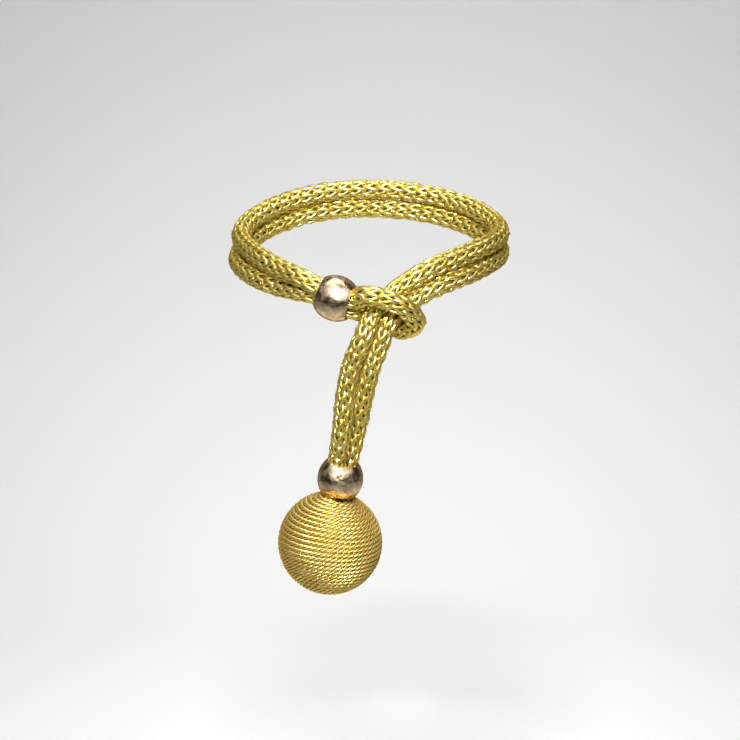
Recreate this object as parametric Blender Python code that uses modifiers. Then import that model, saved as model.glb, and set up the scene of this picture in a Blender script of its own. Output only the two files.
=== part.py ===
"""Curtain tieback tassel: a doubled, knitted gold rope with two round metal beads and a wound cord ball.

One rope is folded in half. Its two ends go through the lower bead into the ball. Its fold makes a small
loop beside the upper bead, and the doubled rope above the ball passes through that loop, so that the
rope closes into one wide loop.

Frame: +Z up, the tie's front faces -Y. The origin is the middle of the wide loop.
Sizes are written in millimetres and turned into metres once, where the objects are made.
"""

import math

import bpy
from mathutils import Vector

MM = 0.001

# --- driving dimensions, millimetres -------------------------------------------------------------
GAP = 0.3                       # clearance between pieces that touch on the real tie

ROPE_DIAMETER = 8.5             # a soft knitted tube; it is squeezed thinner where it lies tight
ROPE_MAX_TURN = 22.0            # degrees that the rope's solid may bend between two of its points
BEND_SAMPLES = 12               # points that measure how far a stretch of it bends

BALL_DIAMETER = 45.0
BALL_CENTRE = Vector((-16.4, -66.0, -111.6))
BALL_AXIS = Vector((0.153, 0.065, 0.986)).normalized()      # from the ball towards its bead
BALL_HOLE_DIAMETER = 13.6
BALL_HOLE_FLOOR = 10.7          # height of the hole's floor above the ball's middle
TURN_PITCH = 2.03               # from one turn of the wound cord to the next
TURN_DEPTH = 0.45               # how deep the groove between two turns is
BALL_STEPS = 48

BEAD_DIAMETER = 19.5
BEAD_LENGTH = 14.6
BEAD_HOLE_DIAMETER = 13.6
BEAD_LIP = 0.3                  # flat rim round the hole
BEAD_ARC_POINTS = 12
BEAD_STEPS = 48
UPPER_BEAD_CENTRE = Vector((-13.6, -56.1, -5.4))
UPPER_BEAD_AXIS = Vector((0.917, -0.275, -0.288)).normalized()

# The route of the folded rope, from inside the ball to the fold, chosen by hand.
# pair x, y, z: the middle of the two strands; half x, y, z: from there to the first strand, and the
# second strand lies as far on the other side; thick: the rope's thickness there.
ROUTE = [
    # pair x, y, z          half x, y, z          thick
    (-14.7, -65.3, -100.8,  -2.6, -2.0, 0.5,      6.2),     # ends, at the floor of the ball's hole
    (-13.0, -64.6, -89.9,   -2.6, -2.0, 0.5,      6.2),
    (-10.8, -63.6, -75.4,   -2.6, -2.0, 0.5,      6.2),     # lower bead
    (-9.3, -63.3, -68.6,    -2.9, -2.3, 0.9,      7.3),
    (-8.1, -62.9, -61.0,    -3.1, -2.6, 1.0,      8.0),
    (-6.1, -62.6, -48.5,    -3.8, -1.8, 0.9,      8.2),     # hanging pair
    (-3.3, -62.3, -34.8,    -4.1, -0.9, 1.0,      8.2),
    (1.5, -61.8, -22.0,     -3.6, -1.4, 1.7,      8.1),
    (5.7, -58.5, -12.5,     -3.3, 0.2, 2.3,       7.5),     # through the small loop
    (12.6, -54.0, -6.9,     -2.4, -0.1, 3.4,      7.6),
    (19.7, -50.0, -2.6,     -1.5, -0.8, 3.9,      8.1),
    (29.0, -45.0, 1.1,      -1.0, 0.0, 4.2,      8.3),     # right-hand band
    (41.3, -35.4, 3.3,      -0.5, 0.4, 4.4,       8.5),
    (51.2, -21.5, 4.0,      0.0, 0.2, 4.4,        8.5),
    (57.0, -5.0, 3.7,       0.0, 0.0, 4.4,       8.5),
    (56.0, 13.5, 4.2,       0.0, 0.0, 4.4,        8.4),     # round the back
    (46.6, 30.5, 6.6,       0.0, 0.0, 4.4,        8.4),
    (30.0, 43.0, 9.0,       0.0, 0.0, 4.4,        8.4),
    (8.0, 49.0, 10.4,       0.0, 0.0, 4.4,        8.4),
    (-16.0, 47.8, 10.0,     0.0, 0.0, 4.4,        8.4),
    (-36.6, 38.6, 7.6,      0.0, 0.0, 4.4,        8.4),
    (-50.8, 23.0, 4.2,      0.0, 0.0, 4.4,        8.4),
    (-56.4, 4.5, 1.4,       0.5, 0.0, 4.4,       8.4),     # left-hand band
    (-53.3, -14.5, 0.4,     1.3, 0.4, 4.2,        8.5),
    (-45.9, -30.0, -0.1,    0.5, 0.1, 4.5,        8.7),
    (-36.1, -41.4, -1.2,    -0.3, -0.9, 4.2,      8.3),
    (-28.6, -49.4, -1.2,    -0.5, -1.3, 3.7,      7.5),
    (-21.2, -53.9, -3.0,    -0.2, -1.7, 2.85,     6.1),     # upper bead
    (-13.6, -56.1, -5.4,    0.1, -1.75, 2.8,      6.1),
    (-5.6, -58.5, -7.9,     0.3, -1.9, 2.85,      6.1),
    (-3.2, -58.0, -7.3,     0.3, -4.0, 4.5,       6.3),     # small loop
    (-0.3, -57.3, -8.1,     0.4, -7.3, 6.4,       7.5),
    (4.1, -57.2, -9.6,      0.4, -7.1, 6.9,       8.0),
    (9.3, -57.8, -11.7,     0.6, -6.9, 7.3,       8.2),
    (15.4, -58.5, -13.9,    0.5, -4.9, 6.1,       8.1),
]
FOLD = (20.0, -58.9, -15.1, 8.1)        # x, y, z and thickness at the turn of the fold


# --- helpers ------------------------------------------------------------------------------------
def clear_scene():
    """Start from an empty file without closing it."""
    for item in list(bpy.data.objects):
        bpy.data.objects.remove(item, do_unlink=True)


def material(name, colour, roughness, metallic):
    """A plain Principled BSDF."""
    made = bpy.data.materials.new(name)
    made.use_nodes = True
    shader = made.node_tree.nodes["Principled BSDF"]
    shader.inputs["Base Color"].default_value = (*colour, 1.0)
    shader.inputs["Roughness"].default_value = roughness
    shader.inputs["Metallic"].default_value = metallic
    made.diffuse_color = (*colour, 1.0)
    return made


def turned(name, profile, steps, collection, finish):
    """A solid turned round Z from (radius, height) points, which run down its outer side."""
    mesh = bpy.data.meshes.new(name)
    points = [(radius * MM, 0.0, height * MM) for radius, height in profile]
    edges = [(i, i + 1) for i in range(len(points) - 1)]
    mesh.from_pydata(points, edges, [])
    piece = bpy.data.objects.new(name, mesh)
    collection.objects.link(piece)
    screw = piece.modifiers.new("Turn", "SCREW")
    screw.axis = "Z"
    screw.angle = math.tau
    screw.steps = steps
    screw.render_steps = steps
    screw.use_merge_vertices = True
    screw.merge_threshold = 0.00001
    screw.use_smooth_shade = True
    mesh.materials.append(finish)
    return piece


def place(piece, centre, axis):
    """Put a turned piece on its centre, with its own Z along the axis."""
    piece.location = centre * MM
    piece.rotation_mode = "QUATERNION"
    piece.rotation_quaternion = Vector((0.0, 0.0, 1.0)).rotation_difference(axis)


# --- the rope's line ------------------------------------------------------------------------------
def route_points():
    """The whole rope as (position, thickness): first strand, fold, second strand."""
    first = []
    second = []
    for x, y, z, half_x, half_y, half_z, thick in ROUTE:
        pair = Vector((x, y, z))
        half = Vector((half_x, half_y, half_z))
        first.append((pair + half, thick))
        second.append((pair - half, thick))
    fold = [(Vector(FOLD[:3]), FOLD[3])]
    return first + fold + second[::-1]


def spline_point(four, where):
    """Centripetal Catmull-Rom between the middle two of four (position, thickness) points."""
    spans = [math.sqrt((four[i + 1][0] - four[i][0]).length) for i in range(3)]
    knots = [0.0, spans[0], spans[0] + spans[1], sum(spans)]
    at = knots[1] + (knots[2] - knots[1]) * where

    def blend(low, high, start, end):
        share = (at - start) / (end - start)
        return low[0].lerp(high[0], share), low[1] + (high[1] - low[1]) * share

    near = [blend(four[i], four[i + 1], knots[i], knots[i + 1]) for i in range(3)]
    mid = [blend(near[i], near[i + 1], knots[i], knots[i + 2]) for i in range(2)]
    return blend(mid[0], mid[1], knots[1], knots[2])


def span_points(four, count):
    """So many points along the middle span, without its last one."""
    return [spline_point(four, step / count) for step in range(count)]


def smooth_line(points):
    """The rope's own line: every route point, and more of them in a span that bends far."""
    before = (points[0][0] * 2 - points[1][0], points[0][1])
    after = (points[-1][0] * 2 - points[-2][0], points[-1][1])
    padded = [before] + points + [after]
    line = []
    for i in range(len(points) - 1):
        four = padded[i:i + 4]
        fine = span_points(four, BEND_SAMPLES)
        steps = [late[0] - early[0] for early, late in zip(fine, fine[1:])]
        turn = sum(math.degrees(early.angle(late)) for early, late in zip(steps, steps[1:]))
        line += span_points(four, max(1, math.ceil(turn / ROPE_MAX_TURN)))
    return line + [points[-1]]


# --- the pieces -----------------------------------------------------------------------------------
def make_rope(collection, finish):
    """The rope: one tube that follows the whole route and narrows inside the beads."""
    points = smooth_line(route_points())
    data = bpy.data.curves.new("rope", "CURVE")
    data.dimensions = "3D"
    data.bevel_depth = ROPE_DIAMETER / 2 * MM
    data.bevel_resolution = 4
    data.resolution_u = 1
    data.use_fill_caps = True
    spline = data.splines.new("POLY")
    spline.points.add(len(points) - 1)
    for point, (position, thick) in zip(spline.points, points):
        point.co = (*(position * MM), 1.0)
        point.radius = thick / ROPE_DIAMETER
    data.materials.append(finish)
    rope = bpy.data.objects.new("rope", data)
    collection.objects.link(rope)
    return rope


def make_ball(collection, finish):
    """The ball: a sphere of ring after ring of wound cord, with the rope's hole in its top."""
    radius = BALL_DIAMETER / 2
    hole = BALL_HOLE_DIAMETER / 2
    start = math.asin(hole / radius)                        # angle from the ball's axis to the hole's edge
    turns = round((math.pi - start) * radius / TURN_PITCH)
    half_turn = (math.pi - start) / (2 * turns)
    profile = [(0.0, BALL_HOLE_FLOOR), (hole, BALL_HOLE_FLOOR)]
    profile.append((hole, (radius - TURN_DEPTH) * math.cos(start)))
    for i in range(1, 2 * turns):
        reach = radius - (TURN_DEPTH if i % 2 == 0 else 0.0)
        angle = start + half_turn * i
        profile.append((reach * math.sin(angle), reach * math.cos(angle)))
    profile.append((0.0, TURN_DEPTH - radius))
    ball = turned("ball", profile, BALL_STEPS, collection, finish)
    place(ball, BALL_CENTRE, BALL_AXIS)
    return ball


def make_bead(name, centre, axis, collection, finish):
    """A round metal bead with a wide hole: an oval cut off where its flat lip starts."""
    hole = BEAD_HOLE_DIAMETER / 2
    lip = hole + BEAD_LIP
    half = BEAD_LENGTH / 2
    start = math.asin(lip / (BEAD_DIAMETER / 2))            # where the lip meets the oval
    oval_height = half / math.cos(start)
    profile = [(hole, half)]
    for i in range(BEAD_ARC_POINTS + 1):
        angle = start + (math.pi - 2 * start) * i / BEAD_ARC_POINTS
        profile.append((BEAD_DIAMETER / 2 * math.sin(angle), oval_height * math.cos(angle)))
    profile += [(hole, -half), (hole, half)]
    bead = turned(name, profile, BEAD_STEPS, collection, finish)
    place(bead, centre, axis)
    return bead


def lower_bead_centre():
    """The lower bead sits on the ball, round the ball's hole."""
    lip = BEAD_HOLE_DIAMETER / 2 + BEAD_LIP
    seat = math.sqrt((BALL_DIAMETER / 2) ** 2 - lip ** 2)
    return BALL_CENTRE + BALL_AXIS * (seat + GAP + BEAD_LENGTH / 2)


def main():
    clear_scene()
    collection = bpy.data.collections.new("curtain_tieback_tassel")
    bpy.context.scene.collection.children.link(collection)
    gold_knit = material("gold_knit", (0.50, 0.42, 0.12), 0.45, 0.3)
    gold_cord = material("gold_cord", (0.55, 0.39, 0.11), 0.40, 0.3)
    rose_metal = material("rose_metal", (0.72, 0.55, 0.42), 0.18, 1.0)
    make_rope(collection, gold_knit)
    make_bead("bead_lower", lower_bead_centre(), BALL_AXIS, collection, rose_metal)
    make_bead("bead_upper", UPPER_BEAD_CENTRE, UPPER_BEAD_AXIS, collection, rose_metal)
    make_ball(collection, gold_cord)


main()
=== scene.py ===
# %% [markdown]
# Curtain tieback tassel: a doubled, knitted gold rope that closes into one wide loop. Its fold makes a small
# loop beside a metal bead, and its two ends go through a second bead into a ball wound with twisted cord.
# The solids of the tie are loaded first. They fix every place and size, and the pieces made below lie on
# them: the knitted yarn on the rope, the wound cord on the ball, and finer turned beads on the beads.

# %% Load the solids of the tie
import math

import bpy
from mathutils import Matrix, Vector


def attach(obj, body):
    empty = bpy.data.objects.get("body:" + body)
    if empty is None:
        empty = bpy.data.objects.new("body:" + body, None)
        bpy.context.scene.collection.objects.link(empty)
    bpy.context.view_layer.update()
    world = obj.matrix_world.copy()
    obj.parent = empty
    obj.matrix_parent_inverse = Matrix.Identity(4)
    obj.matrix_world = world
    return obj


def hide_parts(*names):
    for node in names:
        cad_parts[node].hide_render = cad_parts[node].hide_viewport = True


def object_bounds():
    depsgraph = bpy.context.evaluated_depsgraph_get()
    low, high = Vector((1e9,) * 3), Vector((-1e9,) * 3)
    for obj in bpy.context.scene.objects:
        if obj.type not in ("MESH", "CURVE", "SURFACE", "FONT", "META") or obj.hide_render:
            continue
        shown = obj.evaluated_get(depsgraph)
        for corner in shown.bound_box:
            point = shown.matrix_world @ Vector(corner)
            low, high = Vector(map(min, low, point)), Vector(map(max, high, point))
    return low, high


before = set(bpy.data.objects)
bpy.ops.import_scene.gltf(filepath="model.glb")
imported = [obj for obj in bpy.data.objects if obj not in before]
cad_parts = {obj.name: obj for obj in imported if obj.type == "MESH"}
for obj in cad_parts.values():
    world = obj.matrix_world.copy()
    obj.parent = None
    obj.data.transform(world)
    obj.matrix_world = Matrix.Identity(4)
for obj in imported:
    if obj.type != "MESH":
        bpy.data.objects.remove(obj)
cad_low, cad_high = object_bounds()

MM = 0.001
print("solids:", sorted(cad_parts))
print("their box, mm:", [round((high - low) / MM, 1) for low, high in zip(cad_low, cad_high)])

# %% [markdown]
# The picture is taken from in front and a little above, about 18 degrees down. A long lens from 1.2 m away
# could be set by eye, but it is surer to work it out: the picture is square and shows 0.432 mm a pixel at
# the beads, so the lens follows from the distance, that scale and the width of the sensor.

# %% Camera
PICTURE = 740                               # pixels, square
SCALE = 0.4318 * MM                         # metres that a pixel shows at the target
DISTANCE = 1.2
LOOK_DOWN = math.radians(18.0)
TARGET = Vector((0.0007, -0.0350, -0.04395))
SENSOR = 36.0                               # mm

camera = bpy.data.objects.new("camera", bpy.data.cameras.new("camera"))
bpy.context.scene.collection.objects.link(camera)
camera.data.sensor_width = SENSOR
camera.data.lens = SENSOR * DISTANCE / (PICTURE * SCALE)
camera.location = TARGET + DISTANCE * Vector((0.0, -math.cos(LOOK_DOWN), math.sin(LOOK_DOWN)))
camera.rotation_euler = (math.pi / 2 - LOOK_DOWN, 0.0, 0.0)
bpy.context.scene.camera = camera
print("lens, mm:", round(camera.data.lens, 1))

# %% [markdown]
# The rope is one knitted tube, folded in half, so its line is one open curve: up from the ball, through the
# small loop, round the wide loop, through the upper bead, round the fold and all the way back. It could be
# drawn as a curve by hand, but both strands run side by side, so a row for the pair of them is easier to
# read and change: the middle of the pair, the half step from there to the first strand, and the soft rope's
# shape there, which is flatter where the two strands are pressed together in a bead: thick from strand to
# strand, wide across.

# %% The route of the doubled rope, metres
ROPE_DIAMETER = 0.0085
ROUTE = [
    # pair x, y, z                half x, y, z                thick     wide
    (-0.0147, -0.0653, -0.1008,   -0.0026, -0.0020, 0.0005,   0.0062,   0.0088),   # ends, in the ball
    (-0.0130, -0.0646, -0.0899,   -0.0026, -0.0020, 0.0005,   0.0062,   0.0088),
    (-0.0108, -0.0636, -0.0754,   -0.0026, -0.0020, 0.0005,   0.0062,   0.0090),   # lower bead
    (-0.0093, -0.0633, -0.0686,   -0.0029, -0.0023, 0.0009,   0.0073,   0.0084),
    (-0.0081, -0.0629, -0.0610,   -0.0031, -0.0026, 0.0010,   0.0080,   0.0084),
    (-0.0061, -0.0626, -0.0485,   -0.0038, -0.0018, 0.0009,   0.0082,   0.0084),   # hanging pair
    (-0.0033, -0.0623, -0.0348,   -0.0041, -0.0009, 0.0010,   0.0082,   0.0084),
    (0.0015, -0.0618, -0.0220,    -0.0036, -0.0014, 0.0017,   0.0081,   0.0084),
    (0.0057, -0.0585, -0.0125,    -0.0033, 0.0002, 0.0023,    0.0075,   0.0082),   # through the small loop
    (0.0126, -0.0540, -0.0069,    -0.0024, -0.0001, 0.0034,   0.0076,   0.0082),
    (0.0197, -0.0500, -0.0026,    -0.0015, -0.0008, 0.0039,   0.0081,   0.0084),
    (0.0290, -0.0450, 0.0011,     -0.0010, 0.0000, 0.0042,    0.0083,   0.0085),   # right-hand band
    (0.0413, -0.0354, 0.0033,     -0.0005, 0.0004, 0.0044,    0.0085,   0.0085),
    (0.0512, -0.0215, 0.0040,     0.0000, 0.0002, 0.0044,     0.0085,   0.0085),
    (0.0570, -0.0050, 0.0037,     0.0000, 0.0000, 0.0044,     0.0085,   0.0085),
    (0.0560, 0.0135, 0.0042,      0.0000, 0.0000, 0.0044,     0.0084,   0.0085),   # round the back
    (0.0466, 0.0305, 0.0066,      0.0000, 0.0000, 0.0044,     0.0084,   0.0085),
    (0.0300, 0.0430, 0.0090,      0.0000, 0.0000, 0.0044,     0.0084,   0.0085),
    (0.0080, 0.0490, 0.0104,      0.0000, 0.0000, 0.0044,     0.0084,   0.0085),
    (-0.0160, 0.0478, 0.0100,     0.0000, 0.0000, 0.0044,     0.0084,   0.0085),
    (-0.0366, 0.0386, 0.0076,     0.0000, 0.0000, 0.0044,     0.0084,   0.0085),
    (-0.0508, 0.0230, 0.0042,     0.0000, 0.0000, 0.0044,     0.0084,   0.0085),
    (-0.0564, 0.0045, 0.0014,     0.0005, 0.0000, 0.0044,     0.0084,   0.0085),   # left-hand band
    (-0.0533, -0.0145, 0.0004,    0.0013, 0.0004, 0.0042,     0.0085,   0.0085),
    (-0.0459, -0.0300, -0.0001,   0.0005, 0.0001, 0.0045,     0.0087,   0.0087),
    (-0.0361, -0.0414, -0.0012,   -0.0003, -0.0009, 0.0042,   0.0083,   0.0085),
    (-0.0286, -0.0494, -0.0012,   -0.0005, -0.0013, 0.0037,   0.0075,   0.0083),
    (-0.0212, -0.0539, -0.0030,   -0.0002, -0.0017, 0.00285,  0.0061,   0.0083),   # upper bead
    (-0.0136, -0.0561, -0.0054,   0.0001, -0.00175, 0.0028,   0.0061,   0.0090),
    (-0.0056, -0.0585, -0.0079,   0.0003, -0.0019, 0.00285,   0.0061,   0.0090),
    (-0.0032, -0.0580, -0.0073,   0.0003, -0.0040, 0.0045,    0.0063,   0.0088),   # small loop
    (-0.0003, -0.0573, -0.0081,   0.0004, -0.0073, 0.0064,    0.0075,   0.0086),
    (0.0041, -0.0572, -0.0096,    0.0004, -0.0071, 0.0069,    0.0080,   0.0085),
    (0.0093, -0.0578, -0.0117,    0.0006, -0.0069, 0.0073,    0.0082,   0.0085),
    (0.0154, -0.0585, -0.0139,    0.0005, -0.0049, 0.0061,    0.0081,   0.0085),
]
FOLD = (0.0200, -0.0589, -0.0151, 0.0081, 0.0085)   # x, y, z, thick and wide at the turn of the fold
print("rows of the route:", len(ROUTE))

# %% [markdown]
# The rows lie about a centimetre apart, and the rope between them has to be smooth. A centripetal Catmull-Rom
# curve goes through every row and makes no kink or knot of its own, also where the rows are uneven. What is
# mixed at each point is the place, the rope's shape there and the way from strand to strand.

# %% The rope's line
SPAN_POINTS = 8                             # points of the line from one row to the next


def rope_rows():
    """The whole rope, row by row: the place, its thick and wide, and the way from strand to strand."""
    first = []
    second = []
    for x, y, z, half_x, half_y, half_z, thick, wide in ROUTE:
        pair = Vector((x, y, z))
        half = Vector((half_x, half_y, half_z))
        shape = Vector((thick, wide))
        first.append((pair + half, shape, half.normalized()))
        second.append((pair - half, shape, half.normalized()))
    fold = (Vector(FOLD[:3]), Vector(FOLD[3:]), first[-1][2])
    return first + [fold] + second[::-1]


def line_point(four, share):
    """Centripetal Catmull-Rom between the middle two of four rows."""
    spans = [math.sqrt((four[i + 1][0] - four[i][0]).length) for i in range(3)]
    knots = [0.0, spans[0], spans[0] + spans[1], sum(spans)]
    at = knots[1] + spans[1] * share

    def mix(low, high, start, end):
        part = (at - start) / (end - start)
        return tuple(early.lerp(late, part) for early, late in zip(low, high))

    near = [mix(four[i], four[i + 1], knots[i], knots[i + 1]) for i in range(3)]
    mid = [mix(near[i], near[i + 1], knots[i], knots[i + 2]) for i in range(2)]
    return mix(mid[0], mid[1], knots[1], knots[2])


def smooth_line(rows):
    """Fine, even steps along the curve through all the rows."""
    before = (rows[0][0] * 2 - rows[1][0],) + rows[0][1:]
    after = (rows[-1][0] * 2 - rows[-2][0],) + rows[-1][1:]
    padded = [before] + rows + [after]
    line = []
    for i in range(len(rows) - 1):
        line += [line_point(padded[i:i + 4], step / SPAN_POINTS) for step in range(SPAN_POINTS)]
    return line + [rows[-1]]


rope_line = smooth_line(rope_rows())
rope_run = sum((late[0] - early[0]).length for early, late in zip(rope_line, rope_line[1:]))
print("points:", len(rope_line), " rope, mm from end to end:", round(rope_run / MM, 1))

# %% [markdown]
# The knit, the winding and the finishes are all worked out with node trees. A tree could be clicked together
# by hand, but a formula is easier to read than a screen of Math nodes. So this small helper lets a socket
# take part in ordinary sums: each sign adds the node that does it. The same helper serves shaders.

# %% Helper: node trees written as formulas
class Wire:
    """A socket that can be added, multiplied and so on, with numbers or with other sockets."""

    def __init__(self, tree, socket):
        self.tree = tree
        self.socket = socket

    def __add__(self, other):
        return calculate(self.tree, "ADD", self, other)

    def __radd__(self, other):
        return calculate(self.tree, "ADD", other, self)

    def __sub__(self, other):
        return calculate(self.tree, "SUBTRACT", self, other)

    def __rsub__(self, other):
        return calculate(self.tree, "SUBTRACT", other, self)

    def __mul__(self, other):
        return calculate(self.tree, "MULTIPLY", self, other)

    def __truediv__(self, other):
        return calculate(self.tree, "DIVIDE", self, other)

    def __rtruediv__(self, other):
        return calculate(self.tree, "DIVIDE", other, self)

    def __neg__(self):
        return calculate(self.tree, "MULTIPLY", self, -1.0)


def connect(tree, socket, value):
    """Feed a socket with a wire, or set it to a plain value."""
    if isinstance(value, Wire):
        tree.links.new(value.socket, socket)
    else:
        socket.default_value = value


def add_node(tree, kind, inputs=(), **settings):
    """A node with its settings and its inputs, given by name or by place."""
    node = tree.nodes.new(kind)
    for name, value in settings.items():
        setattr(node, name, value)
    for key, value in dict(inputs).items():
        connect(tree, node.inputs[key], value)
    return node


def out(tree, node, key=0):
    """An output of a node as a wire."""
    return Wire(tree, node.outputs[key])


def calculate(tree, operation, *parts, clamp=False):
    """One step of arithmetic."""
    node = add_node(tree, "ShaderNodeMath", enumerate(parts), operation=operation, use_clamp=clamp)
    return out(tree, node)


def sine(wire):
    return calculate(wire.tree, "SINE", wire)


def cosine(wire):
    return calculate(wire.tree, "COSINE", wire)


def grown(tree, vector, amount):
    """A vector times a number."""
    node = add_node(tree, "ShaderNodeVectorMath", {0: vector, "Scale": amount}, operation="SCALE")
    return out(tree, node)


def joined(tree, vectors):
    """The sum of several vectors."""
    total = vectors[0]
    for vector in vectors[1:]:
        node = add_node(tree, "ShaderNodeVectorMath", {0: total, 1: vector}, operation="ADD")
        total = out(tree, node)
    return total


def crossed(tree, first, second):
    """The vector at right angles to both."""
    node = add_node(tree, "ShaderNodeVectorMath", {0: first, 1: second}, operation="CROSS_PRODUCT")
    return out(tree, node)


def pressed(tree, step, press):
    """A step away from the rope's line, made shorter along the way in which the strands press together."""
    share = out(tree, add_node(tree, "ShaderNodeVectorMath", {0: step, 1: press}, operation="DOT_PRODUCT"),
                "Value")
    return joined(tree, [step, grown(tree, press, -share)])


def vector_of(tree, x, y, z):
    return out(tree, add_node(tree, "ShaderNodeCombineXYZ", {0: x, 1: y, 2: z}))


print("formula helper ready")

# %% [markdown]
# A tree has named inputs for its sizes, so that someone can turn them like dials. This helper makes the
# tree's inputs from a table of names and values. Values kept on the points under a name carry what a later
# step needs, such as which part is the shaded inside.

# %% Helper: trees with named sizes
SOCKET_KIND = {int: "NodeSocketInt", float: "NodeSocketFloat"}


def new_tree(name, sizes):
    """A Geometry Nodes tree with one input for each size. Returns the tree and its inputs as wires."""
    tree = bpy.data.node_groups.new(name, "GeometryNodeTree")
    tree.interface.new_socket("Geometry", in_out="INPUT", socket_type="NodeSocketGeometry")
    tree.interface.new_socket("Geometry", in_out="OUTPUT", socket_type="NodeSocketGeometry")
    for label, value in sizes.items():
        kind = SOCKET_KIND[type(value)]
        tree.interface.new_socket(label, in_out="INPUT", socket_type=kind)
    entry = tree.nodes.new("NodeGroupInput")
    wires = {socket.name: Wire(tree, socket) for socket in entry.outputs if socket.name}
    return tree, wires


def kept(tree, geometry, name, value, kind="FLOAT"):
    """Keep a value on every point of a geometry, under a name."""
    node = add_node(tree, "GeometryNodeStoreNamedAttribute",
                    {"Geometry": geometry, "Name": name, "Value": value}, data_type=kind)
    return out(tree, node)


def recalled(tree, name, kind="FLOAT"):
    """The value that was kept under a name."""
    return out(tree, add_node(tree, "GeometryNodeInputNamedAttribute", {"Name": name}, data_type=kind))


def marked_inside(tree, geometry):
    """Mark a geometry as the inside of a piece, which gets a finish of its own, dark as painted shade."""
    return kept(tree, geometry, "inside", True, "BOOLEAN")


def end_tree(tree, geometry, material, inside_material):
    """Close a tree: instances made real, smooth shading, and the material of the yarn and of the inside,
    which is painted shade.
    """
    real = add_node(tree, "GeometryNodeRealizeInstances", {0: geometry})
    smooth = add_node(tree, "GeometryNodeSetShadeSmooth", {0: out(tree, real)})
    yarn = add_node(tree, "GeometryNodeSetMaterial", {0: out(tree, smooth), "Material": material})
    inside = recalled(tree, "inside", "BOOLEAN")
    core = add_node(tree, "GeometryNodeSetMaterial",
                    {0: out(tree, yarn), "Selection": inside, "Material": inside_material})
    close = tree.nodes.new("NodeGroupOutput")
    connect(tree, close.inputs[0], out(tree, core))


print("tree helpers ready")

# %% [markdown]
# A finished piece has no live modifiers, so each tree runs once on an object of its own, and what it makes is
# kept as a plain mesh.

# %% Helper: plain meshes from trees
def run_tree(name, tree, sizes, data):
    """Run a tree on some object data and keep what it makes as an object with a plain mesh."""
    maker = bpy.data.objects.new(name + "_maker", data)
    bpy.context.scene.collection.objects.link(maker)
    modifier = maker.modifiers.new("Maker", "NODES")
    modifier.node_group = tree
    for item in tree.interface.items_tree:
        if item.in_out == "INPUT" and item.name in sizes:
            modifier[item.identifier] = sizes[item.name]
    graph = bpy.context.evaluated_depsgraph_get()
    mesh = bpy.data.meshes.new_from_object(maker.evaluated_get(graph), depsgraph=graph)
    maker.modifiers.remove(modifier)
    bpy.data.objects.remove(maker, do_unlink=True)
    mesh.name = name
    piece = bpy.data.objects.new(name, mesh)
    bpy.context.scene.collection.objects.link(piece)
    return piece


def triangles(piece):
    """How many triangles a piece has."""
    return sum(len(face.vertices) - 2 for face in piece.data.polygons)


print("mesh helpers ready")

# %% [markdown]
# All the yarn and cord is a round tube along a line. A curve with a bevel could give it, but the finish has
# to know how far along the yarn a point is and on which side of it, so the sweep is done in the tree, and
# both are kept as it goes.

# %% Helper: yarn along a line
def tube(tree, line, yarn, sides, scale=1.0):
    """A round yarn along a line. It keeps two marks for the finish: how far along the yarn a point is, and
    on which side of it."""
    run = out(tree, add_node(tree, "GeometryNodeSplineParameter"), "Length")
    marked = kept(tree, line, "yarn_run", run)
    ring = add_node(tree, "GeometryNodeCurvePrimitiveCircle", {"Resolution": sides, "Radius": yarn})
    place = out(tree, add_node(tree, "GeometryNodeInputPosition"))
    side = out(tree, add_node(tree, "ShaderNodeVectorMath", {0: place}, operation="NORMALIZE"))
    faced = kept(tree, out(tree, ring), "yarn_side", side, "FLOAT_VECTOR")
    made = add_node(tree, "GeometryNodeCurveToMesh",
                    {"Curve": marked, "Profile Curve": faced, "Scale": scale, "Fill Caps": True})
    return out(tree, made)


print("yarn helper ready")

# %% [markdown]
# The finishes are procedural and read the piece's own coordinates. A few small helpers keep them short, such
# as noise of so many patches to the metre, and a stretch that gives soft noise patches with a clear edge.

# %% Helper: noise and colours for the finishes
def object_place(tree):
    """The point's place on the piece itself."""
    return out(tree, add_node(tree, "ShaderNodeTexCoord"), "Object")


def noise(tree, place, scale, detail):
    """Soft random patches, about so many to the metre."""
    node = add_node(tree, "ShaderNodeTexNoise", {"Vector": place, "Scale": scale, "Detail": detail})
    return out(tree, node)


def stretched(wire, gain, shift):
    """A value times a gain, plus a shift, kept between 0 and 1."""
    return calculate(wire.tree, "MULTIPLY_ADD", wire, gain, shift, clamp=True)


def blend_colours(tree, share, first, second):
    """From one colour to the other."""
    node = add_node(tree, "ShaderNodeMix", {0: share}, data_type="RGBA", blend_type="MIX")
    connect(tree, node.inputs[6], first)
    connect(tree, node.inputs[7], second)
    return out(tree, node, 2)


def new_finish(name):
    """A material, its tree and its shader."""
    made = bpy.data.materials.new(name)
    made.use_nodes = True
    return made, made.node_tree, made.node_tree.nodes["Principled BSDF"]


print("finish helpers ready")
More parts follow.
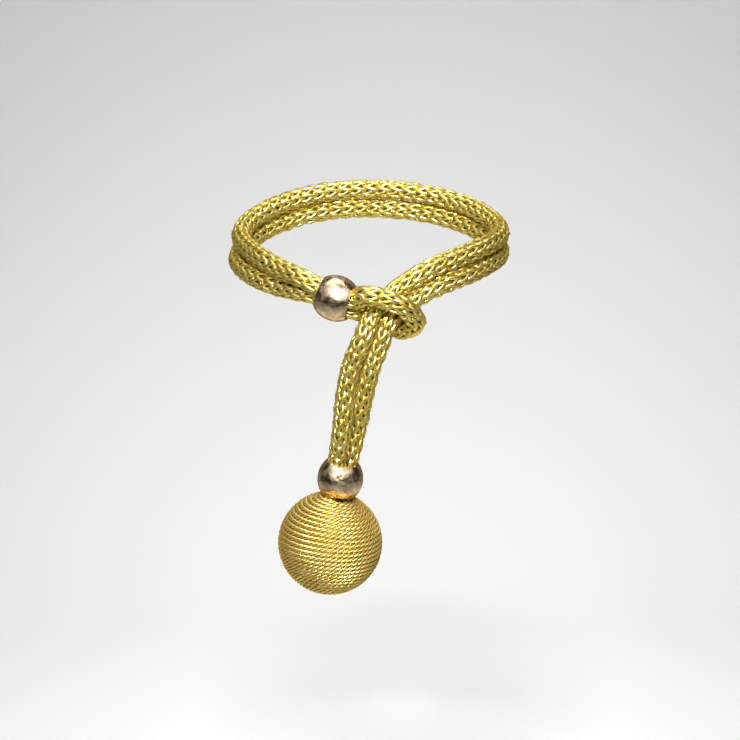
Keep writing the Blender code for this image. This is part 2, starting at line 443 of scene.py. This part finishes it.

# %% [markdown]
# Gold yarn shines like metal on its raised parts and goes olive brown in its slots. One flat yellow would
# look like plastic, and a picture of a knit would blur close up. Here the light does most of the shading on
# real yarn, and the finish adds only what is finer than the mesh: the fine plies that twist round each yarn,
# as bump and as thin lines of painted shade in the grooves between them, and a slow change of colour along
# the piece. The twist is drawn from the yarn's own marks. For four plies it is sin(run + 4 side), written
# without the angle so that it has no seam: the sine and cosine of an angle give those of its double, and
# doubling twice makes four.

# %% Finish: twisted metallic yarn
DOUBLINGS = 2                               # each doubles the number of plies: two give four plies
SLOW_PATCHES = 160.0                        # patches of the slow change of colour, to the metre
FIBRE_PATCHES = 2400.0                      # patches of the fibres' own grain, to the metre
SLOW_STRETCH = (1.6, -0.35)
# Painted shade: how far the colour darkens towards the deep colour between two plies.
GROOVE_SHADE_STRETCH = (-0.16, 0.12)              # how dark the finish gets between two plies
FIBRE_ROUGHNESS = 0.25                      # how far the grain changes the roughness
FIBRE_MIDDLE = 0.12                         # about half of that
PLY_RELIEF = 0.5
FIBRE_RELIEF = 0.6
YARN_BUMP = 0.5
EDGE_GOLD = (0.70, 0.46, 0.18, 1.0)         # the warmer gold of a thread seen along its side


def thread_finish(name, deep, main, pale, lay, metallic, roughness, ply_depth):
    """Metallic thread: its plies wind round it once in each lay."""
    made, tree, shader = new_finish(name)
    run = out(tree, add_node(tree, "ShaderNodeAttribute", attribute_name="yarn_run"), "Fac")
    side = add_node(tree, "ShaderNodeAttribute", attribute_name="yarn_side")
    parts = add_node(tree, "ShaderNodeSeparateXYZ", {0: out(tree, side, "Vector")})
    over = out(tree, parts, 0)
    up = out(tree, parts, 1)
    for _ in range(DOUBLINGS):
        over, up = over * over - up * up, over * up * 2.0
    angle = run * (math.tau * 2 ** DOUBLINGS / lay)
    plies = sine(angle) * over + cosine(angle) * up
    place = object_place(tree)
    fibres = noise(tree, place, FIBRE_PATCHES, 2.0)
    slow = stretched(noise(tree, place, SLOW_PATCHES, 3.0), *SLOW_STRETCH)
    tone = blend_colours(tree, slow, main, pale)
    # Painted shade: the grooves between the plies are darkened towards the deep colour.
    colour = blend_colours(tree, stretched(plies, *GROOVE_SHADE_STRETCH), tone, deep)
    connect(tree, shader.inputs["Base Color"], colour)
    shader.inputs["Metallic"].default_value = metallic
    shader.inputs["Specular Tint"].default_value = EDGE_GOLD
    rough = fibres * FIBRE_ROUGHNESS + (roughness - FIBRE_MIDDLE)
    connect(tree, shader.inputs["Roughness"], rough)
    height = plies * PLY_RELIEF + fibres * FIBRE_RELIEF
    bump = add_node(tree, "ShaderNodeBump", {"Height": height, "Distance": ply_depth, "Strength": YARN_BUMP})
    connect(tree, shader.inputs["Normal"], out(tree, bump))
    return made


# The deep colour of each thread is the painted shade in the grooves between its plies.
knit_gold = thread_finish("knit_gold", deep=(0.24, 0.16, 0.02, 1.0), main=(0.74, 0.58, 0.10, 1.0),
                          pale=(0.94, 0.82, 0.30, 1.0), lay=4.5 * MM, metallic=0.90, roughness=0.29,
                          ply_depth=0.05 * MM)
wound_gold = thread_finish("wound_gold", deep=(0.26, 0.13, 0.02, 1.0), main=(0.76, 0.54, 0.11, 1.0),
                           pale=(0.96, 0.79, 0.32, 1.0), lay=3.0 * MM, metallic=0.88, roughness=0.39,
                           ply_depth=0.04 * MM)
print("yarn finishes:", knit_gold.name, wound_gold.name)

# %% [markdown]
# Between the yarns one looks into the rope and onto the ball's middle. That inside is never seen whole, only
# as dark slots, so it is painted a dull dark brown that stands for the shade in there, with soft lighter
# patches that paint shaded loops further in.

# %% Finish: painted shade for the inside
SHADED_LOOP_PATCHES = 900.0
INSIDE_ROUGHNESS = 0.8


def painted_shade_finish(name, dark, light):
    """Dull dark brown of painted shade, with the painted ghost of shaded loops behind."""
    made, tree, shader = new_finish(name)
    loops = noise(tree, object_place(tree), SHADED_LOOP_PATCHES, 2.0)
    connect(tree, shader.inputs["Base Color"], blend_colours(tree, loops, dark, light))
    shader.inputs["Roughness"].default_value = INSIDE_ROUGHNESS
    return made


# Painted shade: these two dark finishes stand for the shade deep between the yarns and the turns.
knit_shade = painted_shade_finish("knit_shade", (0.03, 0.02, 0.003, 1.0), (0.13, 0.09, 0.010, 1.0))
wound_shade = painted_shade_finish("wound_shade", (0.06, 0.030, 0.003, 1.0), (0.16, 0.085, 0.010, 1.0))
print("inside finishes:", knit_shade.name, wound_shade.name)

# %% [markdown]
# The rope is a narrow knitted tube. One yarn goes round and round it in a spiral, seven loops a round, and
# each loop is pulled through the one below, so the yarn swings up, over and down again all the way. A
# texture could paint the loops, but only real yarn gives the open slots and the scalloped edge. A loop
# follows a rule, so Geometry Nodes bend one long line of points by it. These are the sizes of that rule.

# %% Sizes of the knit
KNIT_SIZES = {
    "Wales": 7,                     # loops in one round
    "Course": 5.9 * MM,             # from one round to the next
    "Loop reach": 3.9 * MM,         # half the height of a loop
    "Loop swing": 0.80,             # how far the legs lean together, in parts of a loop's width
    "Loop skew": 0.4 * MM,          # how far the top of a loop lies to one side of its foot
    "Dip": 0.55 * MM,               # half of how deep the loop's ends dip behind the legs
    "Leg lift": 0.15 * MM,          # half of how much higher one leg stands than the other
    "Leg spread": 0.20,             # how much broader the low leg is than the yarn, and the high one thinner
    "Fullness": 0.55 * MM,          # how far the soft yarn stands out of the rope's even size
    "Yarn": 0.86 * MM,              # half the thickness of the yarn
    "Unevenness": 0.5 * MM,         # how far a loop may lie off its even place
    "Core": 2.75 * MM,              # half the thickness of the shaded inside of the tube
    "Loop points": 12,
    "Yarn sides": 6,
    "Core sides": 12,
}
STRAY_RATE = 1.3                    # how many times the unevenness changes from one loop to the next
print("loops in a round:", KNIT_SIZES["Wales"])

# %% [markdown]
# The rule has a beat of one loop: a swing round the rope, a swing along it, and a dip behind the neighbours.
# One leg of each loop stands proud and leans more than the other, as on the real rope, and no two loops lie
# quite alike, so a slow noise along the yarn moves them a little.

# %% The way of one loop
def uneven(tree, size, loop):
    """Two small lengths that change at random along the yarn."""
    node = add_node(tree, "ShaderNodeTexNoise", {"W": loop, "Scale": STRAY_RATE, "Detail": 0.0},
                    noise_dimensions="1D")
    parts = add_node(tree, "ShaderNodeSeparateXYZ", {0: out(tree, node, "Color")})
    return [(out(tree, parts, i) - 0.5) * size["Unevenness"] for i in range(2)]


def loop_way(tree, size, loop, half_rope):
    """How far the yarn lies from the rope's line, and how far it has turned round it."""
    beat = loop * math.tau
    width = math.tau / size["Wales"]
    stray_round, stray_out = uneven(tree, size, loop)
    swing = width * size["Loop swing"] * sine(beat * 2.0) * 0.5
    skew = (size["Loop skew"] * cosine(beat) + stray_round * 2.0) / half_rope
    turn = loop * width + swing + skew
    dip = size["Dip"] * (1.0 + cosine(beat * 2.0))
    low_leg = size["Leg lift"] * (1.0 - sine(beat))
    reach = half_rope + size["Fullness"] - size["Yarn"] - dip - low_leg + stray_out
    return reach, turn


print("loop rule ready")

# %% [markdown]
# The tree takes the rope's line as a chain of points that know how wide the rope is and how it is pressed.
# It bends the yarn round that line, and puts a plain tube of painted shade inside, so that one doesn't see
# through.

# %% The knitting tree
def sampled(tree, rope, value, along, kind):
    """Read a value off the rope's line, so far along it."""
    return add_node(tree, "GeometryNodeSampleCurve", {"Curves": rope, "Value": value, "Length": along},
                    mode="LENGTH", data_type=kind)


def rope_inside(tree, size, rope, half_wide, press):
    """The inside of the tube, dark with painted shade, flatter where the rope is pressed."""
    here = out(tree, add_node(tree, "GeometryNodeInputPosition"))
    centred = kept(tree, rope, "rope_middle", here, "FLOAT_VECTOR")
    full = tube(tree, centred, size["Core"], size["Core sides"], half_wide / (ROPE_DIAMETER / 2))
    middle = recalled(tree, "rope_middle", "FLOAT_VECTOR")
    away = out(tree, add_node(tree, "ShaderNodeVectorMath", {0: here, 1: middle}, operation="SUBTRACT"))
    flat = joined(tree, [middle, pressed(tree, away, press)])
    core = add_node(tree, "GeometryNodeSetPosition", {"Geometry": full, "Position": flat})
    return marked_inside(tree, out(tree, core))


def knit_tree(material, shade):
    """Bends one long line of points into a knitted tube round the rope's line."""
    tree, size = new_tree("Knitted tube", KNIT_SIZES)
    rope = out(tree, add_node(tree, "GeometryNodeMeshToCurve", {0: size["Geometry"]}))
    length = out(tree, add_node(tree, "GeometryNodeCurveLength", {0: rope}))
    loops = calculate(tree, "FLOOR", length / size["Course"] * size["Wales"])
    line = add_node(tree, "GeometryNodeMeshLine", {"Count": loops * size["Loop points"]}, mode="OFFSET")
    loop = out(tree, add_node(tree, "GeometryNodeInputIndex")) / size["Loop points"]
    beat = loop * math.tau
    along = size["Course"] * loop / size["Wales"] + size["Loop reach"] * cosine(beat)
    half_wide = recalled(tree, "half_wide")
    press = recalled(tree, "press", "FLOAT_VECTOR")
    sample = sampled(tree, rope, half_wide, along, "FLOAT")
    squeeze = sampled(tree, rope, press, along, "FLOAT_VECTOR")
    reach, turn = loop_way(tree, size, loop, out(tree, sample, "Value"))
    normal = out(tree, sample, "Normal")
    sideways = crossed(tree, normal, out(tree, sample, "Tangent"))
    step = joined(tree, [grown(tree, normal, reach * cosine(turn)),
                         grown(tree, sideways, reach * sine(turn))])
    place = joined(tree, [out(tree, sample, "Position"), pressed(tree, step, out(tree, squeeze, "Value"))])
    bent = add_node(tree, "GeometryNodeSetPosition", {"Geometry": out(tree, line), "Position": place})
    yarn_line = out(tree, add_node(tree, "GeometryNodeMeshToCurve", {0: out(tree, bent)}))
    spread = 1.0 - size["Leg spread"] * sine(beat)
    both = add_node(tree, "GeometryNodeJoinGeometry")
    connect(tree, both.inputs[0], rope_inside(tree, size, rope, half_wide, press))
    connect(tree, both.inputs[0], tube(tree, yarn_line, size["Yarn"], size["Yarn sides"], spread))
    end_tree(tree, out(tree, both), material, shade)
    return tree


knitting = knit_tree(knit_gold, knit_shade)
print("nodes in the knitting tree:", len(knitting.nodes))

# %% [markdown]
# The chain carries each row's width, and the press as a direction whose length says how much of a step along
# it is taken away. Then the tree runs on the chain and leaves the finished rope.

# %% Knit the rope
def rope_chain():
    """The rope's line as a chain of points that know how wide the rope is and how it is pressed."""
    mesh = bpy.data.meshes.new("rope_line")
    links = [(i, i + 1) for i in range(len(rope_line) - 1)]
    mesh.from_pydata([place for place, _, _ in rope_line], links, [])
    half_wide = mesh.attributes.new("half_wide", "FLOAT", "POINT")
    press = mesh.attributes.new("press", "FLOAT_VECTOR", "POINT")
    for i, (_, shape, way) in enumerate(rope_line):
        thick, wide = shape
        half_wide.data[i].value = wide / 2
        press.data[i].vector = way.normalized() * math.sqrt(max(0.0, 1 - thick / wide))
    return mesh


rope_knit = run_tree("rope_knit", knitting, KNIT_SIZES, rope_chain())
print("knitted rope:", triangles(rope_knit), "triangles")

# %% [markdown]
# The ball has a wooden middle that one cord is wound round, turn beside turn, from the hole at the top to
# the foot. The cord itself is three plies twisted together, which is what gives the slanting ticks. Rings
# with a bump map would be quicker, but their outline would be smooth. The plies follow a rule, so they are
# made by nodes too: an even spiral over the ball, and each ply circling that spiral once in each lay. Below
# the hole the turns lean over little by little, as a hand lays them: open on one side, close on the other.

# %% The winding tree
BALL_DIAMETER = 45.0 * MM
BALL_CENTRE = Vector((-16.4, -66.0, -111.6)) * MM
BALL_AXIS = Vector((0.153, 0.065, 0.986)).normalized()      # from the ball towards its bead
BALL_HOLE = 13.6 * MM                                       # diameter
WOUND_SIZES = {
    "Radius": BALL_DIAMETER / 2,
    "Hole": BALL_HOLE / 2,
    "Pitch": 2.03 * MM,             # from one turn to the next
    "Lay": 7.4 * MM,                # length in which a ply goes once round the cord
    "Ply": 0.50 * MM,               # half the thickness of a ply
    "Ply circle": 0.69 * MM,        # from the cord's middle to a ply's middle
    "Lean": -0.13,                  # radians that the widest turn leans from square to the hole
    "Lay points": 9,
    "Ply sides": 6,
}
PLIES = 3


def winding_tree(material, shade):
    """Three plies that twist round a spiral on a ball about Z."""
    tree, size = new_tree("Wound cord", WOUND_SIZES)
    way = size["Radius"] - size["Ply"] - size["Ply circle"]             # radius of the cord's middle
    first = calculate(tree, "ARCSINE", size["Hole"] / size["Radius"])   # angle from the axis to the hole
    area = way * way * math.tau / size["Pitch"]
    total = area * (cosine(first) + 1.0)
    points = calculate(tree, "FLOOR", total / size["Lay"] * size["Lay points"])
    line = out(tree, add_node(tree, "GeometryNodeMeshLine", {"Count": points}, mode="OFFSET"))
    run = out(tree, add_node(tree, "GeometryNodeInputIndex")) / points * total
    down = calculate(tree, "ARCCOSINE", cosine(first) - run / area)
    turn = (down - first) * way / size["Pitch"] * math.tau
    outward = vector_of(tree, sine(down) * cosine(turn), sine(down) * sine(turn), cosine(down))
    across = vector_of(tree, cosine(down) * cosine(turn), cosine(down) * sine(turn), -sine(down))
    lean = size["Lean"] * calculate(tree, "DIVIDE", down - first, math.pi / 2 - first, clamp=True)
    cord = add_node(tree, "GeometryNodeJoinGeometry")
    for ply in range(PLIES):
        twist = run / size["Lay"] * math.tau + math.tau * ply / PLIES
        place = joined(tree, [grown(tree, outward, way + size["Ply circle"] * cosine(twist)),
                              grown(tree, across, -(size["Ply circle"] * sine(twist)))])
        leant = out(tree, add_node(tree, "ShaderNodeVectorRotate", {"Vector": place, "Angle": lean},
                                   rotation_type="Y_AXIS"))
        laid = add_node(tree, "GeometryNodeSetPosition", {"Geometry": line, "Position": leant})
        ply_line = out(tree, add_node(tree, "GeometryNodeMeshToCurve", {0: out(tree, laid)}))
        connect(tree, cord.inputs[0], tube(tree, ply_line, size["Ply"], size["Ply sides"]))
    both = add_node(tree, "GeometryNodeJoinGeometry")
    # The middle is marked as the inside, so it gets the dark finish of painted shade.
    connect(tree, both.inputs[0], marked_inside(tree, size["Geometry"]))
    connect(tree, both.inputs[0], out(tree, cord))
    end_tree(tree, out(tree, both), material, shade)
    return tree


winding = winding_tree(wound_gold, wound_shade)
print("nodes in the winding tree:", len(winding.nodes))

# %% [markdown]
# The ball's middle and the beads are turned shapes, the kind that a lathe makes: half an outline, spun round
# an axis. The Screw modifier spins it and merges the seam and the points on the axis, so the mesh is closed.
# The mesh itself is then moved to its place, which leaves the object at the origin.

# %% Helper: turned shapes
def turned_mesh(name, profile, steps):
    """A closed mesh turned round Z from (radius, height) points, which run down its outer side."""
    mesh = bpy.data.meshes.new(name)
    mesh.from_pydata([(radius, 0.0, height) for radius, height in profile],
                     [(i, i + 1) for i in range(len(profile) - 1)], [])
    maker = bpy.data.objects.new(name + "_maker", mesh)
    bpy.context.scene.collection.objects.link(maker)
    screw = maker.modifiers.new("Turn", "SCREW")
    screw.axis = "Z"
    screw.steps = steps
    screw.render_steps = steps
    screw.use_merge_vertices = True
    screw.merge_threshold = 0.01 * MM
    screw.use_smooth_shade = True
    graph = bpy.context.evaluated_depsgraph_get()
    done = bpy.data.meshes.new_from_object(maker.evaluated_get(graph), depsgraph=graph)
    bpy.data.objects.remove(maker, do_unlink=True)
    return done


def placed(piece, centre, axis):
    """Move a turned mesh itself to its place, so that the object stays at the origin."""
    turn = Vector((0.0, 0.0, 1.0)).rotation_difference(axis).to_matrix().to_4x4()
    piece.data.transform(Matrix.Translation(centre) @ turn)
    piece.data.update()


print("turning helpers ready")

# %% [markdown]
# Under the cord lies a plain ball, a cord's depth smaller, with the hole for the rope's ends. Its dark finish
# is painted shade for the slots between the turns. The tree winds the cord onto it about Z, and then the
# whole is tipped onto the line through its bead.

# %% Wind the ball
MIDDLE_DEPTH = 1.5 * MM                     # how far the middle lies under the ball's outside
HOLE_PLAY = 0.2 * MM                        # how much less the middle's hole is, to each side
HOLE_FLOOR = 10.7 * MM                      # height of the hole's floor above the ball's centre
MIDDLE_RINGS = 48
MIDDLE_STEPS = 64


def ball_middle():
    """The wooden middle just under the cord."""
    under = BALL_DIAMETER / 2 - MIDDLE_DEPTH
    hole = BALL_HOLE / 2 - HOLE_PLAY
    start = math.asin(hole / under)
    profile = [(0.0, HOLE_FLOOR), (hole, HOLE_FLOOR)]
    for ring in range(MIDDLE_RINGS + 1):
        angle = start + (math.pi - start) * ring / MIDDLE_RINGS
        profile.append((under * math.sin(angle), under * math.cos(angle)))
    profile[-1] = (0.0, -under)
    return turned_mesh("ball_middle", profile, MIDDLE_STEPS)


ball_wound = run_tree("ball_wound", winding, WOUND_SIZES, ball_middle())
placed(ball_wound, BALL_CENTRE, BALL_AXIS)
print("wound ball:", triangles(ball_wound), "triangles")

# %% [markdown]
# The plating of the beads is a pale rose gold that is not even: brown patches are put into its colour as a
# painted reflection of dark surroundings, the pale patches are duller, and it is softly dented all over.
# Perfect chrome would show the studio as in a mirror. Here one noise changes both colour and roughness, and a
# second one dents the surface.

# %% Finish: rose-gold plating
# Painted reflection: the brown patches, so many to the metre, stand in for the dark mottled reflections of
# the surroundings.
MOTTLE_PATCHES = 260.0                        # worn patches, to the metre
MOTTLE_STRETCH = (3.0, -1.0)
DENT_PATCHES = 190.0                        # dents, to the metre
DENT_DEPTH = 1.0 * MM
DENT_BUMP = 0.6
POLISH = 0.12                               # roughness where it is smoothest
DULLER = 0.26                               # how much rougher the dull patches are
PAINTED_REFLECTION_BROWN = (0.58, 0.38, 0.19, 1.0)
PALE_GOLD = (0.95, 0.79, 0.55, 1.0)
EDGE_BROWN = (0.30, 0.20, 0.14, 1.0)        # the tint along the bead's outline


def plating_finish(name):
    """Polished plating with brown patches of painted reflection, duller pale patches and soft dents."""
    made, tree, shader = new_finish(name)
    place = object_place(tree)
    patch = stretched(noise(tree, place, MOTTLE_PATCHES, 4.0), *MOTTLE_STRETCH)
    # Painted reflection: the brown of the base colour stands in for mirrored dark surroundings.
    connect(tree, shader.inputs["Base Color"], blend_colours(tree, patch, PAINTED_REFLECTION_BROWN, PALE_GOLD))
    shader.inputs["Metallic"].default_value = 1.0
    shader.inputs["Specular Tint"].default_value = EDGE_BROWN
    connect(tree, shader.inputs["Roughness"], patch * DULLER + POLISH)
    dents = noise(tree, place, DENT_PATCHES, 3.0)
    bump = add_node(tree, "ShaderNodeBump", {"Height": dents, "Distance": DENT_DEPTH, "Strength": DENT_BUMP})
    connect(tree, shader.inputs["Normal"], out(tree, bump))
    return made


rose_gold = plating_finish("rose_gold")
print("bead finish:", rose_gold.name)

# %% [markdown]
# The beads are short, round metal barrels with a wide hole. A sphere with a hole cut in it would have a knife
# edge; the real ones are rolled over at the rim. So the bead is turned from a profile: an oval outside, a
# small round lip, a straight bore, and the lip again.

# %% Turn the beads
BEAD_DIAMETER = 19.5 * MM
BEAD_LENGTH = 14.6 * MM
BEAD_HOLE = 13.6 * MM
BEAD_LIP = 0.3 * MM
BEAD_GAP = 0.3 * MM
BEAD_STEPS = 96
BEAD_ARC = 28
LIP_ARC = 6
UPPER_BEAD_CENTRE = Vector((-13.6, -56.1, -5.4)) * MM
UPPER_BEAD_AXIS = Vector((0.917, -0.275, -0.288)).normalized()


def bead_profile():
    """From the upper lip down the outside, round the lower lip and back up the bore."""
    half = BEAD_LENGTH / 2
    hole = BEAD_HOLE / 2
    start = math.asin((hole + BEAD_LIP) / (BEAD_DIAMETER / 2))
    height = half / math.cos(start)
    outer = []
    for i in range(BEAD_ARC + 1):
        angle = start + (math.pi - 2 * start) * i / BEAD_ARC
        outer.append((BEAD_DIAMETER / 2 * math.sin(angle), height * math.cos(angle)))
    lip = BEAD_LIP
    corner = []
    for i in range(1, LIP_ARC + 1):
        angle = math.pi / 2 * i / LIP_ARC
        corner.append((hole + lip - lip * math.sin(angle), half - lip + lip * math.cos(angle)))
    top = corner[::-1]
    bottom = [(radius, -z) for radius, z in corner]
    return top + outer + bottom + [top[0]]


def bead(name, centre, axis, material):
    made = bpy.data.objects.new(name, turned_mesh(name, bead_profile(), BEAD_STEPS))
    bpy.context.scene.collection.objects.link(made)
    made.data.materials.append(material)
    placed(made, centre, axis)
    return made


bead_rim = BEAD_HOLE / 2 + BEAD_LIP
bead_seat = math.sqrt((BALL_DIAMETER / 2) ** 2 - bead_rim ** 2)
lower_centre = BALL_CENTRE + BALL_AXIS * (bead_seat + BEAD_GAP + BEAD_LENGTH / 2)
lower_bead = bead("lower_bead", lower_centre, BALL_AXIS, rose_gold)
upper_bead = bead("upper_bead", UPPER_BEAD_CENTRE, UPPER_BEAD_AXIS, rose_gold)
print("beads:", triangles(lower_bead), "triangles each")

# %% [markdown]
# Each piece now takes the place of its solid and rides with the tie.

# %% Fit the pieces to the tie
for piece, node, finish in ((rope_knit, "rope", "knitted_rope"), (ball_wound, "ball", "wound_cord"),
                            (lower_bead, "bead_lower", "bead_metal"),
                            (upper_bead, "bead_upper", "bead_metal")):
    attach(piece, "root")
    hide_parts(node)

# %% [markdown]
# The tie hangs free, so it needs only a plain pale studio. The floor curves up into a back wall, as a roll
# of paper does, which leaves no line behind the tie. Past its edge the air looks pale too, but gives little
# light of its own.

# %% Studio: paper and air
FLOOR_DEPTH = 0.35                          # below the lowest point of the tie
FLOOR_FRONT = -1.6
WALL_START = 0.7
WALL_CURVE = 0.5
WALL_TOP = 1.6
STUDIO_HALF_WIDTH = 2.0
CURVE_STEPS = 16
AIR_LIGHT = 0.04                            # how much light comes from all round
AIR_SEEN = 0.8                              # how bright the air looks past the edge of the sheet
PAPER = (0.86, 0.86, 0.85, 1.0)
PAPER_ROUGHNESS = 0.9
WHITE = (1.0, 1.0, 1.0, 1.0)


def seamless():
    """Floor and back wall as one smooth sheet."""
    floor = cad_low.z - FLOOR_DEPTH
    profile = [(FLOOR_FRONT, floor), (WALL_START, floor)]
    for i in range(1, CURVE_STEPS + 1):
        angle = math.pi / 2 * i / CURVE_STEPS
        profile.append((WALL_START + WALL_CURVE * math.sin(angle),
                        floor + WALL_CURVE * (1 - math.cos(angle))))
    profile.append((WALL_START + WALL_CURVE, floor + WALL_TOP))
    corners = []
    for y, z in profile:
        corners += [(-STUDIO_HALF_WIDTH, y, z), (STUDIO_HALF_WIDTH, y, z)]
    faces = [(2 * i, 2 * i + 1, 2 * i + 3, 2 * i + 2) for i in range(len(profile) - 1)]
    mesh = bpy.data.meshes.new("studio_sheet")
    mesh.from_pydata(corners, [], faces)
    mesh.shade_smooth()
    sheet = bpy.data.objects.new("studio_sheet", mesh)
    bpy.context.scene.collection.objects.link(sheet)
    paper, _, shader = new_finish("studio_paper")
    shader.inputs["Base Color"].default_value = PAPER
    shader.inputs["Roughness"].default_value = PAPER_ROUGHNESS
    mesh.materials.append(paper)
    return sheet


def studio_air():
    """Pale to look at, and a little light from all round."""
    world = bpy.data.worlds.new("studio_air")
    world.use_nodes = True
    air = world.node_tree
    seen = out(air, add_node(air, "ShaderNodeLightPath"), "Is Camera Ray")
    background = air.nodes["Background"]
    background.inputs["Color"].default_value = WHITE
    connect(air, background.inputs["Strength"], AIR_LIGHT + seen * (AIR_SEEN - AIR_LIGHT))
    return world


seamless()
bpy.context.scene.world = studio_air()
bpy.context.scene.view_settings.view_transform = "Standard"
print("paper and air ready")

# %% [markdown]
# Three soft lights do the rest: a wide panel above, which the beads mirror as their pale upper side, a small
# stronger key light from the camera's side that makes the yarn sparkle, and a wash of light on the wall. The
# key is kept narrow: were it to flood the floor in front, the beads would mirror that and lose their dark
# side.

# %% Studio: lights
def soft_light(name, place, width, height, power, aim=TARGET, spread=180.0):
    """A panel of white light that faces a point, the tie if none is given. Spread is how far it fans out."""
    data = bpy.data.lights.new(name, "AREA")
    data.shape = "RECTANGLE"
    data.size = width
    data.size_y = height
    data.energy = power
    data.spread = math.radians(spread)
    lamp = bpy.data.objects.new(name, data)
    lamp.location = place
    lamp.rotation_euler = (Vector(aim) - Vector(place)).to_track_quat("-Z", "Y").to_euler()
    bpy.context.scene.collection.objects.link(lamp)


soft_light("ceiling", place=(0.0, -0.6, 0.72), width=2.6, height=1.4, power=9.2)
soft_light("key", place=(-0.05, -1.2, 1.0), width=0.22, height=0.22, power=2.4, spread=40.0)
soft_light("wall_wash", place=(0.0, 0.35, 0.8), width=0.8, height=0.8, power=5.0, aim=(0.0, 1.2, -0.3))
print("lights:", [lamp.name for lamp in bpy.data.lights])
